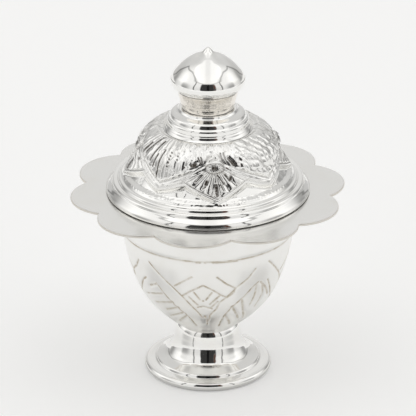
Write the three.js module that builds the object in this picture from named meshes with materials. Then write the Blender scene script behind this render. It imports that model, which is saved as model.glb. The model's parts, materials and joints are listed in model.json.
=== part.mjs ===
// Kumkum box: a footed bowl with a ten-petal plate round its mouth and an embossed lid that lifts off.
// Lengths are in millimetres and angles in degrees. +Z is up, -Y is the front,
// and the origin is the centre of the ring that the foot stands on.

import * as THREE from 'three';

// Joints between pieces
const solderFilm = 0.05;
const lidSeatGap = 0.3;
const sleeveClearance = 0.4;

// Foot
const footHeight = 11.3;
const footRimRadius = 14.1;
const footRimHeight = 2.05;
const footRimDepth = 1;
const footRestWidth = 1.1;
const footBandWidth = 1.5;
const footShoulderWidth = 0.5;
const footShoulderHeight = 0.8;
const footNeckRadius = 7.25;
const footCrownHeight = 1.5;
const footCapInset = 0.75;
const footWall = 0.8;
const footRimStart = -50;
const footRimEnd = 80;

// Bowl
const bowlHeight = 30.8;
const bowlBaseOverhang = 0.5;
const bowlBandRadius = 18.9;
const bowlBandHeight = 8;
const bowlBandStep = 0.2;
const bowlWall = 0.8;
const bowlLipWidth = 1.3;
const bowlLipThickness = 0.6;

// Petal plate
const petalCount = 10;
const petalReach = 8;
const petalDepth = 3.4;
const petalFirstNotch = 10.6;
const plateThickness = 0.6;

// Lid
const lidHeight = 14.65;
const lidRimOverhang = 3.35;
const lidRimHeight = 3.35;
const lidRimWidth = 2.2;
const lidRimHollow = 1.65;
const lidSkirtInset = 3.3;
const lidCrownMargin = 0.2;
const lidWall = 0.7;

// Embossing on the lid: four small fans with four large leaves between them.
// Its levels are lengths up the dome's face from the rim.
const embossRepeats = 4;
const fanCentre = 6.5;
const notchAngle = 24;
const fanTipLevel = 0.8;
const notchLevel = 4.2;
const leafTipLevel = 1.9;
const skirtStart = 0.9;
const skirtSlope = 0.34;
const skirtDepth = 0.4;
const valleyDepth = 0.15;
const valleyWidth = 2.2;
const borderWidth = 1.1;
const fieldRise = 0.3;
const leafJoinLevel = 10.15;
const leafFootLevel = 3.8;
const leafShoulder = 2.6;
const leafRise = 0.42;
const ribAngle = 7.5;
const ribOffset = 4.5;
const ribEnd = 3;
const ribTopLevel = 12.8;
const ribFade = 1.6;
const ribRise = 0.3;
const ribFocusLevel = 26.6;
const ribFocusReach = 14.1;
const petalAngle = 16.4;
const petalFocusLevel = 9.6;
const petalFadeLevel = 6;
const petalRise = 0.3;
const bossLevel = 8.75;
const bossWidth = 3.6;
const bossDepth = 1.9;
const bossRise = 0.5;
const tongueLevel = 9.5;
const tongueTipLevel = 12;
const tongueSlope = 0.72;
const tongueEdge = 0.6;
const tongueRise = 0.42;
const crownFade = 2.2;
const crownRowShares = [0.25, 0.5, 0.75];
const fitSlack = 1e-6;

// Sleeve inside the lid
const sleeveDepth = 3.8;
const sleeveWall = 0.6;

// Collar and knob
const collarHeight = 4.6;
const collarRadius = 9.8;
const collarLedge = 0.2;
const collarWall = 0.8;
const collarFootWidth = 1.6;
const neckHeight = 4.35;
const neckBaseRadius = 5.75;
const neckFlare = 1.25;
const neckWall = 0.7;
const knobHeight = 9.35;
const knobOverhang = 1.4;
const knobWall = 0.7;
const knobTipRadius = 2.1;

// Screws, washers and nuts
const screwRadius = 1.5;
const screwClearance = 0.2;
const screwHeadRadius = 2.9;
const screwHeadHeight = 1.3;
const screwTail = 0.8;
const washerRadius = 3.5;
const washerThickness = 0.6;
const nutAcrossFlats = 5.5;
const nutHeight = 2.4;

// Facets round a full turn
const wideSteps = 34;
const narrowSteps = 30;
const fastenerSteps = 18;
const embossSteps = 96;
const petalSteps = 8;

// Radii and levels, worked out from the sizes above
const holeRadius = screwRadius + screwClearance;
const footNeckLevel = footHeight - footCrownHeight;
const footCapRadius = footNeckRadius - footCapInset;
const bowlBaseRadius = footCapRadius + bowlBaseOverhang;
const mouthRadius = bowlBandRadius - bowlWall;
const petalNotchRadius = bowlBandRadius + petalReach;
const petalTipRadius = petalNotchRadius + petalDepth;
const lidRimRadius = bowlBandRadius + lidRimOverhang;
const lidSkirtRadius = lidRimRadius - lidSkirtInset;
const lidCrownRadius = collarRadius + lidCrownMargin;
const collarTopRadius = neckBaseRadius + collarLedge;
const neckTopRadius = neckBaseRadius + neckFlare;
const knobRadius = neckTopRadius + knobOverhang;
const bowlLevel = footHeight + solderFilm;
const plateLevel = bowlLevel + bowlHeight + solderFilm;
const lidLevel = plateLevel + plateThickness + lidSeatGap;
const collarLevel = lidLevel + lidHeight + solderFilm;
const neckLevel = collarLevel + collarHeight + solderFilm;
const knobLevel = neckLevel + neckHeight + solderFilm;

// Outlines, as shares of the way from the first corner to the last: across, then up
const footShoulderShares = [[0, 0], [0.12, 0.35], [0.45, 0.78], [1, 1]];
const footFlareShares = [[0, 0], [0.187, 0.065], [0.422, 0.141], [0.583, 0.22], [0.701, 0.314],
  [0.808, 0.407], [0.883, 0.512], [0.943, 0.626], [0.979, 0.784], [1, 1]];
const footCrownShares = [[0, 0], [0.13, 0.4], [0.4, 0.77], [1, 1]];
const bellyShares = [[0, 0], [0.24, 0.1], [0.45, 0.215], [0.61, 0.325],
  [0.735, 0.45], [0.86, 0.635], [0.962, 0.85], [1, 1]];
const lidRimShares = [[0.97, 0], [1, 0.045], [0.985, 0.194], [0.682, 0.484], [0.606, 0.567],
  [0.576, 0.672], [0.47, 0.761], [0.242, 0.782], [0.182, 0.896]];
const domeShares = [[0, 0], [0.039, 0.032], [0.161, 0.164], [0.317, 0.34], [0.407, 0.509],
  [0.474, 0.668], [0.631, 0.819], [0.81, 0.934], [1, 1]];
const neckShares = [[0, 0], [0.04, 0.15], [0.4, 0.6], [1, 1]];
const knobShares = [[neckTopRadius / knobRadius, 0], [0.945, 0.08], [1, 0.19], [0.97, 0.35], [0.84, 0.52], [0.62, 0.66],
  [0.4, 0.74], [0.24, 0.785], [0.13, 0.85], [0.055, 0.94], [0, 1]];
const collarShares = [[1, 0], [1, 0.1], [0.91, 0.16], [0.91, 0.24], [0.8, 0.31], [0.55, 0.37],
  [0.48, 0.45], [0.5, 0.6], [0.4, 0.7], [0.22, 0.74], [0.16, 0.88], [0, 1]];

const silver = { color: 0xe4e2dc, metalness: 1, roughness: 0.1 };
const brass = { color: 0xb8924a, metalness: 1, roughness: 0.35 };

function point(radius, height) {
  return new THREE.Vector2(radius, height);
}

// A smooth line from one corner to another, in the given number of steps
function smoothLine(start, end, shares, steps) {
  const corners = shares.map(([across, up]) => point(
    THREE.MathUtils.lerp(start.x, end.x, across),
    THREE.MathUtils.lerp(start.y, end.y, up),
  ));
  return new THREE.SplineCurve(corners).getSpacedPoints(steps);
}

// Part of an ellipse, from one angle to another
function roundLine(centre, across, up, startAngle, endAngle, steps) {
  const turn = THREE.MathUtils.degToRad;
  const arc = new THREE.EllipseCurve(
    centre.x, centre.y, across, up, turn(startAngle), turn(endAngle), endAngle < startAngle,
  );
  return arc.getPoints(steps);
}

// The inner face of a wall whose outer face is an upward line
function innerLine(line, wall) {
  return line.map((spot, index) => {
    const before = line[Math.max(index - 1, 0)];
    const after = line[Math.min(index + 1, line.length - 1)];
    const along = after.clone().sub(before).normalize();
    return point(spot.x - along.y * wall, spot.y + along.x * wall);
  });
}

// The height of an upward line at a radius
function heightAt(line, radius) {
  const index = line.findIndex((spot, place) => place > 0
    && (spot.x - radius) * (line[place - 1].x - radius) <= 0);
  const before = line[index - 1];
  const after = line[index];
  const share = (radius - before.x) / (after.x - before.x);
  return THREE.MathUtils.lerp(before.y, after.y, share);
}

function addMesh(group, name, geometry, finish, level) {
  const mesh = new THREE.Mesh(geometry, new THREE.MeshStandardMaterial(finish));
  mesh.name = name;
  mesh.position.z = level;
  group.add(mesh);
}

// A turned solid: the outline is revolved about +Z
function turned(outline, steps, startAngle = 0) {
  const onAxis = outline[0].x === 0;
  const closed = onAxis ? outline : [...outline, outline[0]];
  const start = THREE.MathUtils.degToRad(startAngle);
  return new THREE.LatheGeometry(closed, steps, start).rotateX(Math.PI / 2);
}

// Every second corner of a line, and its last one: enough for a face that little light reaches
function coarse(line) {
  return line.filter((spot, index) => index % 2 === 0 || index === line.length - 1);
}

function ring(innerRadius, outerRadius, thickness, steps) {
  return turned([
    point(innerRadius, 0),
    point(outerRadius, 0),
    point(outerRadius, thickness),
    point(innerRadius, thickness),
  ], steps);
}

function footOutline() {
  const restRadius = footRimRadius - footRimDepth / 2;
  const rimTop = point(footRimRadius - footRimDepth, footRimHeight);
  const bandEnd = point(rimTop.x - footBandWidth, rimTop.y);
  const flareStart = point(bandEnd.x - footShoulderWidth, bandEnd.y + footShoulderHeight);
  const neck = point(footNeckRadius, footNeckLevel);
  const rim = roundLine(
    point(rimTop.x, footRimHeight / 2), footRimDepth, footRimHeight / 2,
    footRimStart, footRimEnd, 4,
  );
  const shoulder = smoothLine(bandEnd, flareStart, footShoulderShares, 3);
  const flare = smoothLine(flareStart, neck, footFlareShares, 8).slice(1);
  const crown = smoothLine(neck, point(footCapRadius, footHeight), footCrownShares, 3).slice(1);
  const inner = coarse(innerLine(flare, footWall));
  const ceiling = footHeight - footWall;
  return [
    point(restRadius - footRestWidth, 0),
    point(restRadius, 0),
    ...rim,
    rimTop,
    ...shoulder,
    ...flare,
    ...crown,
    point(holeRadius, footHeight),
    point(holeRadius, ceiling),
    point(inner.at(-1).x - footWall / 2, ceiling),
    ...inner.reverse(),
    point(bandEnd.x, footRimHeight - footWall),
    point(restRadius - footRestWidth, footRimHeight - footWall),
  ];
}

function bowlOutline() {
  const bandLevel = bowlHeight - bowlBandHeight;
  const belly = smoothLine(
    point(bowlBaseRadius, 0), point(bowlBandRadius - bowlBandStep, bandLevel), bellyShares, 9,
  );
  const inner = coarse(innerLine(belly, bowlWall).filter((spot) => spot.y > bowlWall));
  const lipRadius = bowlBandRadius + bowlLipWidth;
  return [
    point(holeRadius, 0),
    ...belly,
    point(bowlBandRadius, bandLevel),
    point(bowlBandRadius, bowlHeight - bowlLipThickness),
    point(lipRadius, bowlHeight - bowlLipThickness),
    point(lipRadius, bowlHeight),
    point(mouthRadius, bowlHeight),
    ...inner.reverse(),
    point(inner.at(-1).x - bowlWall, bowlWall),
    point(holeRadius, bowlWall),
  ];
}

// Round petals that meet in sharp notches
function plateGeometry() {
  const half = Math.PI / petalCount;
  const chord = petalNotchRadius * Math.sin(half);
  const base = petalNotchRadius * Math.cos(half);
  const rise = petalTipRadius - base;
  const radius = (chord * chord + rise * rise) / (2 * rise);
  const sweep = Math.atan2(chord, base - (petalTipRadius - radius));
  const outline = new THREE.Shape();
  for (let petal = 0; petal < petalCount; petal += 1) {
    const middle = THREE.MathUtils.degToRad(petalFirstNotch - 90) + half * (2 * petal + 1);
    outline.absarc(
      (petalTipRadius - radius) * Math.cos(middle),
      (petalTipRadius - radius) * Math.sin(middle),
      radius, middle - sweep, middle + sweep, false,
    );
  }
  outline.closePath();
  const mouth = new THREE.Path().absarc(0, 0, mouthRadius, 0, 2 * Math.PI, true);
  outline.holes.push(mouth);
  return new THREE.ExtrudeGeometry(outline, {
    depth: plateThickness, bevelEnabled: false, curveSegments: petalSteps,
  });
}

// Degrees from the nearest of the middles that repeat with a period
function folded(azimuth, middle, period) {
  return THREE.MathUtils.euclideanModulo(azimuth - middle + period / 2, period) - period / 2;
}

// A ridge of one period, 0 at its ends and 1 in its middle
function ridge(place) {
  const share = THREE.MathUtils.euclideanModulo(place, 1);
  return 1 - (2 * share - 1) ** 2;
}

// The ribs that fan out over every second leaf
function ribs(azimuth, up) {
  const leafMiddle = fanCentre - 180 / embossRepeats;
  const beside = folded(azimuth, leafMiddle, 720 / embossRepeats);
  const spread = beside * ribFocusReach / (ribFocusLevel - up);
  const top = THREE.MathUtils.smoothstep(ribTopLevel - up, 0, ribFade);
  return spread < ribEnd ? ribRise * top * ridge((spread - ribOffset) / ribAngle) : 0;
}

// The petals of a fan, which open downwards from its boss
function petals(across, up) {
  const drop = petalFocusLevel - up;
  const angle = THREE.MathUtils.radToDeg(Math.atan2(across, drop));
  const fade = THREE.MathUtils.smoothstep(petalFadeLevel - up, 0, borderWidth);
  return petalRise * fade * ridge(angle / petalAngle + 1 / 2);
}

// The half-round boss of a fan, and the plain tongue above it
function bossAndTongue(across, up) {
  const share = Math.hypot(2 * across / bossWidth, 2 * (up - bossLevel) / bossDepth);
  const boss = bossRise * Math.sqrt(Math.max(1 - share * share, 0));
  const half = tongueSlope * (tongueTipLevel - Math.max(up, tongueLevel));
  const tongue = THREE.MathUtils.smoothstep(half - Math.abs(across), 0, tongueEdge);
  return boss + (up < tongueLevel ? 0 : tongueRise * tongue);
}

// The lower edges of the border and of the leaves, as levels, at degrees from a fan's middle
function edges(aside) {
  const leafCentre = 180 / embossRepeats;
  const border = aside < notchAngle
    ? THREE.MathUtils.mapLinear(aside, 0, notchAngle, fanTipLevel, notchLevel)
    : THREE.MathUtils.mapLinear(aside, notchAngle, leafCentre, notchLevel, leafTipLevel);
  const leaf = THREE.MathUtils.mapLinear(aside, 0, leafCentre, leafJoinLevel, leafFootLevel);
  return { border, leaf };
}

// Height of the embossing at an azimuth, a level and a radius
function embossing(azimuth, up, radius) {
  const millimetres = THREE.MathUtils.degToRad(radius);
  const beside = folded(azimuth, fanCentre, 360 / embossRepeats);
  const aside = Math.abs(beside);
  const { border, leaf } = edges(aside);
  const valleyShare = Math.abs(aside - notchAngle) * millimetres / valleyWidth;
  const valley = valleyDepth * (1 - THREE.MathUtils.smoothstep(valleyShare, 0, 1));
  const skirt = Math.min(skirtSlope * Math.max(up - skirtStart, 0), skirtDepth) + valley;
  const inside = THREE.MathUtils.smoothstep(up - border, 0, borderWidth);
  const swell = THREE.MathUtils.smoothstep(up - leaf, 0, leafShoulder);
  const across = beside * millimetres;
  const figures = up > leaf ? ribs(azimuth, up) * swell : petals(across, up);
  return inside * (fieldRise + leafRise * swell + figures) - (1 - inside) * skirt
    + bossAndTongue(across, up);
}

// Levels of one column of corners: rows follow the edges of the border and of the leaves
function columnLevels(azimuth, top) {
  const { border, leaf } = edges(Math.abs(folded(azimuth, fanCentre, 360 / embossRepeats)));
  const field = border + borderWidth;
  const shoulder = Math.max(leaf, field) + leafShoulder;
  const middle = (Math.max(leaf, field) + shoulder) / 2;
  const between = (share) => THREE.MathUtils.lerp(shoulder, top, share);
  return [
    0, border / 2, border, field, (field + Math.max(leaf, field + borderWidth)) / 2,
    Math.max(leaf, field + borderWidth), middle + borderWidth / 2, shoulder,
    ...crownRowShares.map(between), top,
  ];
}

// The point of a line at a length along it, and the direction out of its face
function alongLine(line, lengths, up) {
  const index = Math.max(lengths.findIndex((length) => length >= up - fitSlack), 1);
  const share = (up - lengths[index - 1]) / (lengths[index] - lengths[index - 1]);
  const along = line[index].clone().sub(line[index - 1]).normalize();
  return {
    spot: line[index - 1].clone().lerp(line[index], share),
    outward: point(along.y, -along.x),
  };
}

function lidGeometry() {
  const skirt = point(lidSkirtRadius, lidRimHeight);
  const rim = lidRimShares.map(([across, up]) => point(
    THREE.MathUtils.lerp(skirt.x, lidRimRadius, across), up * lidRimHeight,
  ));
  const crown = point(lidCrownRadius, lidHeight);
  const face = smoothLine(skirt, crown, domeShares, 60);
  const lengths = [0];
  face.slice(1).forEach((spot, index) => lengths.push(lengths[index] + spot.distanceTo(face[index])));
  const dome = columnLevels(fanCentre, lengths.at(-1)).map((up) => alongLine(face, lengths, up).spot);
  const inner = coarse(innerLine(smoothLine(skirt, crown, domeShares, 10), lidWall + skirtDepth))
    .filter((spot) => spot.y < lidHeight - lidWall);
  const restRadius = lidRimRadius - lidRimWidth;
  const outline = [
    point(restRadius, 0),
    ...rim,
    ...dome,
    point(holeRadius, lidHeight),
    point(holeRadius, lidHeight - lidWall),
    point(inner.at(-1).x, lidHeight - lidWall),
    ...inner.reverse(),
    point(restRadius - lidWall, lidRimHollow),
  ];
  const geometry = turned(outline, embossSteps, fanCentre);
  const first = outline.indexOf(dome[0]);
  const place = geometry.attributes.position;
  const column = outline.length + 1;
  for (let turn = 0; turn <= embossSteps; turn += 1) {
    const azimuth = fanCentre + 360 * turn / embossSteps;
    const direction = THREE.MathUtils.degToRad(azimuth);
    columnLevels(azimuth, lengths.at(-1)).forEach((up, step) => {
      const { spot, outward } = alongLine(face, lengths, up);
      const fromCrown = THREE.MathUtils.smoothstep(lengths.at(-1) - up, 0, crownFade);
      const height = step > 0 ? fromCrown * embossing(azimuth, up, spot.x) : 0;
      const moved = spot.addScaledVector(outward, height);
      place.setXYZ(
        turn * column + first + step,
        moved.x * Math.sin(direction), -moved.x * Math.cos(direction), moved.y,
      );
    });
  }
  return { geometry, underside: [...inner].reverse() };
}

function sleeveOutline(underside) {
  const outer = mouthRadius - sleeveClearance;
  const inner = outer - sleeveWall;
  const bottom = -lidSeatGap - sleeveDepth;
  return [
    point(inner, bottom),
    point(outer, bottom),
    point(outer, heightAt(underside, outer) - lidSeatGap),
    point(inner, heightAt(underside, inner) - lidSeatGap),
  ];
}

function collarOutline() {
  const outer = collarShares.map(([across, up]) => point(
    THREE.MathUtils.lerp(collarTopRadius, collarRadius, across), up * collarHeight,
  ));
  const roof = collarHeight - collarWall;
  return [
    ...outer,
    point(holeRadius, collarHeight),
    point(holeRadius, roof),
    point(collarTopRadius - collarWall, roof),
    point(collarTopRadius - collarWall / 2, roof / 2),
    point(collarRadius - collarFootWidth, collarWall),
    point(collarRadius - collarFootWidth, 0),
  ];
}

function neckOutline() {
  const outer = smoothLine(
    point(neckBaseRadius, 0), point(neckTopRadius, neckHeight), neckShares, 5,
  );
  const inner = coarse(outer).map((spot) => point(spot.x - neckWall, Math.max(spot.y, neckWall)));
  return [
    point(holeRadius, 0),
    ...outer,
    ...inner.reverse(),
    point(holeRadius, neckWall),
  ];
}

function knobOutline() {
  const corners = knobShares.map(([across, up]) => point(across * knobRadius, up * knobHeight));
  const outer = new THREE.SplineCurve(corners).getSpacedPoints(15);
  const hollow = coarse(outer.filter((spot) => spot.x > knobTipRadius))
    .map((spot) => point(spot.x - knobWall, Math.max(spot.y - knobWall * spot.y / knobHeight, 0)));
  outer[outer.length - 1] = point(0, knobHeight);
  return [
    point(0, hollow.at(-1).y),
    ...hollow.reverse(),
    ...outer,
  ];
}

// A round-headed screw, its shank pointing down from the seat of its head
function screwOutline(shankLength) {
  const head = roundLine(point(0, 0), screwHeadRadius, screwHeadHeight, 0, 90, 4);
  head[head.length - 1] = point(0, screwHeadHeight);
  return [
    point(0, -shankLength),
    point(screwRadius, -shankLength),
    point(screwRadius, 0),
    ...head,
  ];
}

function nutGeometry() {
  const corner = nutAcrossFlats / 2 / Math.cos(Math.PI / 6);
  const outline = new THREE.Shape();
  for (let side = 0; side < 6; side += 1) {
    const angle = side * Math.PI / 3;
    const x = corner * Math.cos(angle);
    const y = corner * Math.sin(angle);
    if (side === 0) {
      outline.moveTo(x, y);
    } else {
      outline.lineTo(x, y);
    }
  }
  outline.closePath();
  outline.holes.push(new THREE.Path().absarc(0, 0, holeRadius, 0, 2 * Math.PI, true));
  return new THREE.ExtrudeGeometry(outline, {
    depth: nutHeight, bevelEnabled: false, curveSegments: fastenerSteps / 2,
  });
}

// A screw through a stack of walls, with its washer and nut below
function addFastener(group, name, headLevel, stackHeight) {
  const washerLevel = headLevel - stackHeight - solderFilm - washerThickness;
  const nutLevel = washerLevel - solderFilm - nutHeight;
  const shankLength = headLevel - nutLevel + screwTail;
  addMesh(group, `${name}_screw`, turned(screwOutline(shankLength), fastenerSteps), brass,
    headLevel + solderFilm);
  addMesh(group, `${name}_washer`, ring(holeRadius, washerRadius, washerThickness, fastenerSteps),
    brass, washerLevel);
  addMesh(group, `${name}_nut`, nutGeometry(), brass, nutLevel);
}

const box = new THREE.Group();

const base = new THREE.Group();
addMesh(base, 'foot', turned(footOutline(), wideSteps), silver, 0);
addMesh(base, 'bowl', turned(bowlOutline(), wideSteps), silver, bowlLevel);
addMesh(base, 'petal_plate', plateGeometry(), silver, plateLevel);
addFastener(base, 'foot', bowlLevel + bowlWall, bowlWall + solderFilm + footWall);
box.add(base);

const lid = new THREE.Group();
const shell = lidGeometry();
addMesh(lid, 'lid_dome', shell.geometry, silver, 0);
addMesh(lid, 'lid_sleeve', turned(sleeveOutline(shell.underside), wideSteps), silver, 0);
addMesh(lid, 'lid_collar', turned(collarOutline(), narrowSteps), silver, collarLevel - lidLevel);
addMesh(lid, 'knob_neck', turned(neckOutline(), narrowSteps), silver, neckLevel - lidLevel);
addMesh(lid, 'knob_dome', turned(knobOutline(), narrowSteps), silver, knobLevel - lidLevel);
addFastener(lid, 'knob', neckLevel - lidLevel + neckWall,
  neckWall + 2 * solderFilm + collarHeight + lidWall);
lid.position.z = lidLevel;
box.add(lid);

export default box;
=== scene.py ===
# %% [markdown]
# # A silver kumkum box
# The box is a bowl on a trumpet foot, with a ten-petal plate soldered round its mouth, and an
# embossed lid that lifts off by its knob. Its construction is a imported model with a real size, and
# this lesson dresses it: each turned, stamped or sawn piece is modelled again with its fine edges
# and ornament, and gets the finish of polished silver plate.
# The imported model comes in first, because every piece takes its place and size from it.

import json
import math

import bpy
import numpy as np
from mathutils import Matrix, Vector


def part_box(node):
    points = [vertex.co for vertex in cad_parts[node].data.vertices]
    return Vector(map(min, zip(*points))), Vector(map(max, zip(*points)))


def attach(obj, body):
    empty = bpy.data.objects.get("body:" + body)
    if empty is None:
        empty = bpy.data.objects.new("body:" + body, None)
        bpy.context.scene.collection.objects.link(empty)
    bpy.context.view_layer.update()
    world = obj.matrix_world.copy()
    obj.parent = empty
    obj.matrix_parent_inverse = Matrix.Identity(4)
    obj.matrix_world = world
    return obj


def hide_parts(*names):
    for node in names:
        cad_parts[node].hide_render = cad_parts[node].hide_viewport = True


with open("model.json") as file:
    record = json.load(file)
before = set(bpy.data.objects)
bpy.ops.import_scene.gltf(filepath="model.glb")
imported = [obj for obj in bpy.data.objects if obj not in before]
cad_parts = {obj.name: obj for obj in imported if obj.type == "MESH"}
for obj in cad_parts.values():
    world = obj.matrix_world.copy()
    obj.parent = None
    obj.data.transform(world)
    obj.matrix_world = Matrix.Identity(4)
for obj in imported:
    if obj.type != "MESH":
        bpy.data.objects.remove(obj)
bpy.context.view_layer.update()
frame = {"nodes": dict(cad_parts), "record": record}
mm = 0.001
print("pieces in the packed model:", sorted(frame["nodes"]))

# %% [markdown]
# ## The camera
# A small object is photographed from nearly a metre away with a long lens, so that round rims stay
# calm ellipses. The camera looks down at 24.5 degrees, at a point just under the middle of the box.

# %% Place the camera
aim = (0, 0, 38 * mm)
camera_distance = 900 * mm
camera_elevation = math.radians(24.5)
pixels_per_mm = 4.566
image_width = 416
axis_column = 207.95
aim_row = 208.6

camera_data = bpy.data.cameras.new("camera")
camera = bpy.data.objects.new("camera", camera_data)
bpy.context.scene.collection.objects.link(camera)
camera.location = (
    0,
    -camera_distance * math.cos(camera_elevation),
    aim[2] + camera_distance * math.sin(camera_elevation),
)
camera.rotation_euler = (math.pi / 2 - camera_elevation, 0, 0)
view_width = image_width / pixels_per_mm * mm
camera_data.lens = camera_data.sensor_width * camera_distance / view_width
camera_data.shift_x = (image_width / 2 - axis_column) / image_width
camera_data.shift_y = (aim_row - image_width / 2) / image_width
camera_data.clip_start = 10 * mm
bpy.context.scene.camera = camera
print("lens", round(camera_data.lens, 1), "mm")

# %% [markdown]
# ## Shader maths as plain expressions
# A procedural finish is a chain of Math nodes, which is hard to read when every node is wired by
# hand. A small class wraps a socket, so that `1 - mask * 0.5` adds the nodes that it names. Every
# other node comes from one method, which takes its kind, then its settings and then its sockets.

# %% Wrap sockets so that expressions add Math nodes
class Value:
    def __init__(self, tree, socket):
        self.tree = tree
        self.socket = socket

    def math(self, operation, *others):
        inputs = dict(enumerate((self, *others)))
        return self.tree.add("Math", {"operation": operation}, inputs).out()

    def __add__(self, other):
        return self.math("ADD", other)

    __radd__ = __add__

    def __sub__(self, other):
        return self.math("SUBTRACT", other)

    def __rsub__(self, other):
        return (self * -1).math("ADD", other)

    def __mul__(self, other):
        return self.math("MULTIPLY", other)

    def __truediv__(self, other):
        return self.math("DIVIDE", other)


class Node:
    def __init__(self, tree, node):
        self.tree = tree
        self.node = node

    def out(self, name=0):
        return Value(self.tree, self.node.outputs[name])


class Tree:
    def __init__(self, node_tree):
        self.node_tree = node_tree
        node_tree.nodes.clear()

    def add(self, kind, settings=None, inputs=None):
        node = self.node_tree.nodes.new("ShaderNode" + kind)
        for name, value in (settings or {}).items():
            setattr(node, name, value)
        for name, value in (inputs or {}).items():
            if isinstance(value, Value):
                self.node_tree.links.new(value.socket, node.inputs[name])
            else:
                node.inputs[name].default_value = value
        return Node(self, node)

    def ease(self, value, start, end):
        """A smooth step from 0 at start to 1 at end."""
        return self.add("MapRange", {"interpolation_type": "SMOOTHSTEP"},
                        {"Value": value, "From Min": start, "From Max": end}).out()

    def band(self, value, start, end, softness):
        """1 where the value lies between start and end, with soft edges."""
        rise = self.ease(value, start - softness, start + softness)
        fall = self.ease(value, end - softness, end + softness)
        return rise * (1 - fall)

    def noise(self, place, scale, detail=2, roughness=0.5):
        inputs = {"Vector": place, "Scale": scale, "Detail": detail, "Roughness": roughness}
        return self.add("TexNoise", None, inputs).out("Fac")

    def mix(self, factor, first, second):
        """A colour between two colours."""
        mixer = self.add("Mix", {"data_type": "RGBA"}, {"Factor": factor}).node
        sockets = [each for each in mixer.inputs if each.type == "RGBA"]
        for socket, colour in zip(sockets, (first, second)):
            if isinstance(colour, Value):
                self.node_tree.links.new(colour.socket, socket)
            else:
                socket.default_value = (*colour, 1)
        return Value(self, next(each for each in mixer.outputs if each.type == "RGBA"))

    def bearing(self, vector):
        """The compass angle from the front and the height of a direction, both in degrees."""
        parts = self.add("SeparateXYZ", None, {"Vector": vector})
        to_right, to_back, upward = (parts.out(axis) for axis in "XYZ")
        degrees = 180 / math.pi
        return to_right.math("ARCTAN2", to_back * -1) * degrees, upward.math("ARCSINE") * degrees

    def place(self):
        """Where each point lies on its object."""
        return self.add("TexCoord").out("Object")

    def bump(self, height):
        """The normal, bent by a height in millimetres."""
        inputs = {"Height": height, "Distance": mm, "Strength": 1}
        return self.add("Bump", None, inputs).out()

    def surface(self, inputs):
        """A principled shader on the material's output."""
        shader = self.add("BsdfPrincipled", None, inputs)
        self.add("OutputMaterial", None, {"Surface": shader.out()})


def new_finish(name):
    """A material, and the tree that its nodes go into."""
    material = bpy.data.materials.new(name)
    material.use_nodes = True
    return material, Tree(material.node_tree)


print("shader helpers are ready")

# %% [markdown]
# ## The light tent
# Polished silver shows nothing but its surroundings, so the surroundings are the first finish.
# Such objects are photographed inside a white fabric tent: bright sides, a greyer back, a seam at
# each corner, lamps behind sides and roof, and a dark opening in front for the lens. The tent is
# far larger than the box, so it is drawn in the world by direction alone. It also lights the floor.
# The camera itself sees a plain pale backdrop past the floor.

# %% Set the tent's brightness
front_level = 0.9
side_level = 0.97
shoulder_level = 0.66
back_level = 0.8
roof_level = 0.82
lamp_glow = 0.2
roof_glow = 0.24
roof_shadow = 0.6
low_share = 0.86
opening_level = 0.04
lens_level = 0.008
edge_level = 0.6
seam_share = 0.1
fold_share = 0.42
thin_line = 0.55
soft_line = 0.4
backdrop_level = 0.915
white_cloth = (1, 0.997, 0.988)
brown_edge = (0.16, 0.075, 0.05)
print("tent walls", front_level, side_level, shoulder_level, back_level)

# %% [markdown]
# The tent is laid out in degrees: azimuth from the front and elevation from the level. An ease has
# a start and an end. A patch has a start, an end and a softness in each of two directions.

# %% Lay the tent out
wall_turns = [(40, 70, side_level), (95, 130, shoulder_level), (145, 172, back_level)]
seam_azimuth = 46
radian = 57.3
patches = {
    "side lamp": [(84, 118, 12), (12, 42, 8)],
    "corner seam": [(-1.7, 1.7, 0.7), (-40, 52, 2)],
    "roof seam": [(-1.2, 1.2, 1), (49, 124, 2)],
    "paper edge": [(-1.6, 1.6, 1), (-25, 38, 2)],
    "back fold": [(120, 136, 7), (-5, 22, 7)],
    "opening": [(-24.5, 25.5, 1.2), (-5, 50, 2)],
    "lens": [(-3.5, 3.5, 1), (-8, 50, 1)],
    "warm edge": [(19, 26, 1), (14, 46, 2)],
}


def patch(name, first, second):
    """1 inside a named patch of the tent, with soft edges."""
    return tent.band(first, *patches[name][0]) * tent.band(second, *patches[name][1])


print("tent patches:", *patches)

# %% Draw the tent in the world
world = bpy.data.worlds.new("light_tent")
bpy.context.scene.world = world
world.use_nodes = True
tent = Tree(world.node_tree)
azimuth, elevation = tent.bearing(tent.add("TexCoord").out("Generated"))
side = azimuth.math("ABSOLUTE")

walls = level_before = front_level
for start, end, level_after in wall_turns:
    walls = walls + tent.ease(side, start, end) * (level_after - level_before)
    level_before = level_after
walls = walls * (low_share + tent.ease(elevation, 8, 34) * (1 - low_share))
walls = walls + (roof_level - walls) * tent.ease(elevation, 52, 75)
side_lamp = patch("side lamp", side, elevation)
to_right = (azimuth / radian).math("SINE") * (elevation / radian).math("COSINE")
from_middle = to_right.math("ABSOLUTE")
roof_edge = 53 + tent.ease(side, 90, 130) * 17
roof_lamp = tent.ease(elevation - roof_edge, -3, 3) * (1 - tent.ease(from_middle, 0.5, 0.62))
roof_lamp = roof_lamp * (1 - tent.band(from_middle, -1, 0.12, 0.08) * roof_shadow)
walls = walls + side_lamp * lamp_glow + roof_lamp * roof_glow
print("tent lamps", lamp_glow, roof_glow)

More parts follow.
